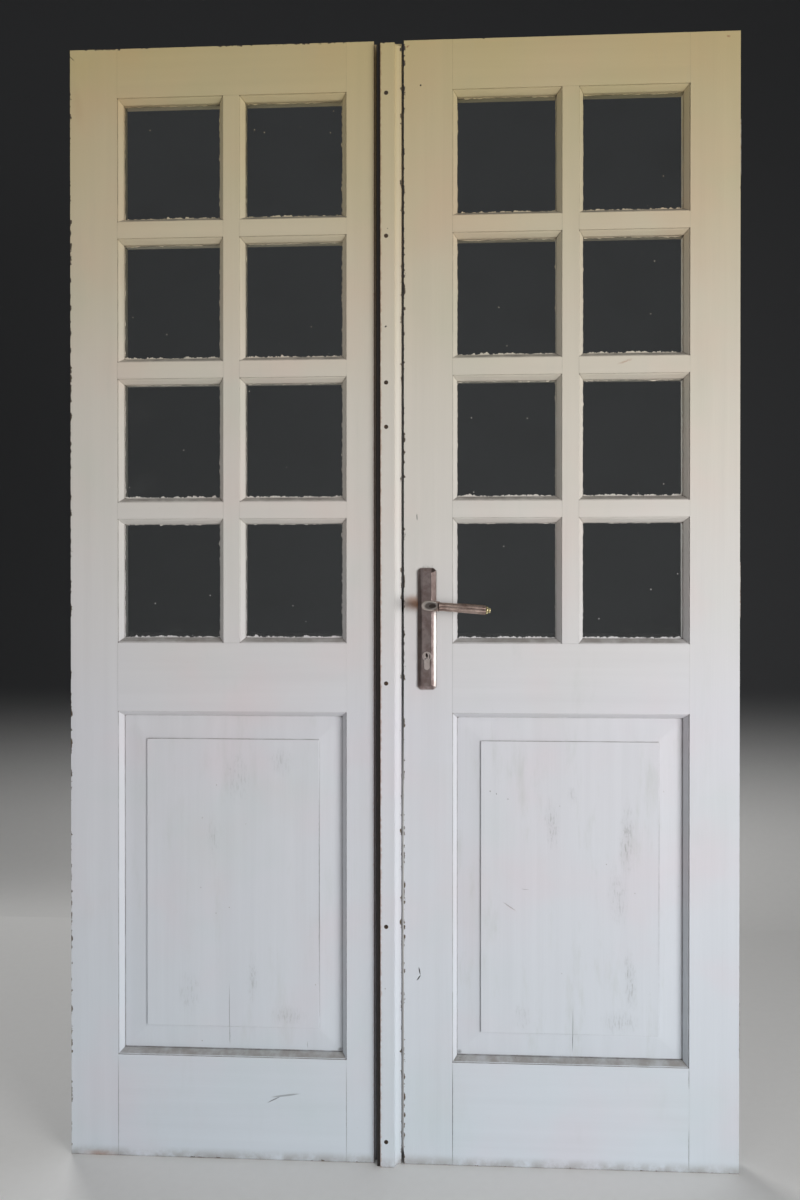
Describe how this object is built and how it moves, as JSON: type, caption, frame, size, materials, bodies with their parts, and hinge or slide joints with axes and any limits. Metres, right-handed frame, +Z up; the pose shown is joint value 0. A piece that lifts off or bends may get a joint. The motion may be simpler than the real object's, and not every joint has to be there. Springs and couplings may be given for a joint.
{
  "type": "pair of french doors",
  "caption": "Pair of glazed timber doors with raised panels below, a cover strip at the joint, butt hinges, flush bolts, a mortise lock and lever handles.",
  "frame": {"origin": "centre of the closed pair on the level of the leaves' lower edges, at mid thickness of the leaves", "axes": "+X along the pair from the left leaf to the right one seen from the front, +Y from the front face to the back, the way both leaves open, +Z up"},
  "size_m": [1.2304, 0.143, 2.04],
  "materials": {
    "painted_timber": "aged off-white paint, brushed, chipped at the edges",
    "pane_glass": "clear, with paint smears at the edges",
    "hinge_steel": "dull, tarnished",
    "lock_steel": "satin, lightly rusted",
    "handle_metal": "tarnished satin, brown-grey",
    "cylinder_brass": "satin, tarnished",
    "cap_brass": "polished",
    "screw_steel": "dull"
  },
  "bodies": {
    "frame_flaps": {"left_frame_hinges": "hinge_steel", "left_hinge_pins": "hinge_steel", "right_frame_hinges": "hinge_steel", "right_hinge_pins": "hinge_steel"},
    "left_leaf": {"left_hinge_stile": "painted_timber", "left_meeting_stile": "painted_timber", "left_top_rail": "painted_timber", "left_lock_rail": "painted_timber", "left_bottom_rail": "painted_timber", "left_upright_bar": "painted_timber", "left_cross_bars": "painted_timber", "left_panel": "painted_timber", "left_glazing_beads": "painted_timber", "left_pane_1": "pane_glass", "left_pane_2": "pane_glass", "left_pane_3": "pane_glass", "left_pane_4": "pane_glass", "left_pane_5": "pane_glass", "left_pane_6": "pane_glass", "left_pane_7": "pane_glass", "left_pane_8": "pane_glass", "left_leaf_hinges": "hinge_steel", "cover_strip": "painted_timber", "strike_plate": "lock_steel", "top_flush_case": "lock_steel", "bottom_flush_case": "lock_steel", "left_screws": "screw_steel"},
    "right_leaf": {"right_hinge_stile": "painted_timber", "right_meeting_stile": "painted_timber", "right_top_rail": "painted_timber", "right_lock_rail": "painted_timber", "right_bottom_rail": "painted_timber", "right_upright_bar": "painted_timber", "right_cross_bars": "painted_timber", "right_panel": "painted_timber", "right_glazing_beads": "painted_timber", "right_pane_1": "pane_glass", "right_pane_2": "pane_glass", "right_pane_3": "pane_glass", "right_pane_4": "pane_glass", "right_pane_5": "pane_glass", "right_pane_6": "pane_glass", "right_pane_7": "pane_glass", "right_pane_8": "pane_glass", "right_leaf_hinges": "hinge_steel", "lock_case": "lock_steel", "cylinder_body": "cylinder_brass", "outside_plate": "handle_metal", "inside_plate": "handle_metal", "right_screws": "screw_steel"},
    "lever_set": {"outside_lever": "handle_metal", "inside_lever": "handle_metal", "lever_end_caps": "cap_brass", "spindle": "lock_steel", "follower": "lock_steel"},
    "latch": {"latch_bolt": "lock_steel"},
    "lock_bolt": {"dead_bolt": "lock_steel"},
    "key_plug": {"cylinder_plug": "cylinder_brass"},
    "top_bolt": {"top_flush_bolt": "lock_steel"},
    "bottom_bolt": {"bottom_flush_bolt": "lock_steel"}
  },
  "joints": [
    {"name": "left_leaf_swing", "type": "hinge", "parent": "frame_flaps", "child": "left_leaf", "pos_m": [-0.60975, 0.028, 1.02], "axis": [0, 0, 1], "range_deg": [0, 110]},
    {"name": "right_leaf_swing", "type": "hinge", "parent": "frame_flaps", "child": "right_leaf", "pos_m": [0.60975, 0.028, 1.02], "axis": [0, 0, -1], "range_deg": [0, 110]},
    {"name": "lever_turn", "type": "hinge", "parent": "right_leaf", "child": "lever_set", "pos_m": [0.05025, 0, 1.017], "axis": [0, 1, 0], "range_deg": [0, 40], "stiffness_Nm_per_rad": 1.5, "springref_deg": -34.38},
    {"name": "latch_slide", "type": "slide", "parent": "right_leaf", "child": "latch", "axis": [1, 0, 0], "range_m": [0, 0.0121]},
    {"name": "key_turn", "type": "hinge", "parent": "right_leaf", "child": "key_plug", "pos_m": [0.05025, 0, 0.925], "axis": [0, 1, 0], "range_deg": [0, 360]},
    {"name": "dead_bolt_slide", "type": "slide", "parent": "right_leaf", "child": "lock_bolt", "axis": [-1, 0, 0], "range_m": [0, 0.02]},
    {"name": "top_bolt_slide", "type": "slide", "parent": "left_leaf", "child": "top_bolt", "axis": [0, 0, 1], "range_m": [0, 0.018]},
    {"name": "bottom_bolt_slide", "type": "slide", "parent": "left_leaf", "child": "bottom_bolt", "axis": [0, 0, -1], "range_m": [0, 0.018]}
  ],
  "couplings": [
    {"joint": "latch_slide", "follows": "lever_turn", "m_per_rad": 0.017189},
    {"joint": "key_turn", "follows": "dead_bolt_slide", "rad_per_m": 314}
  ]
}
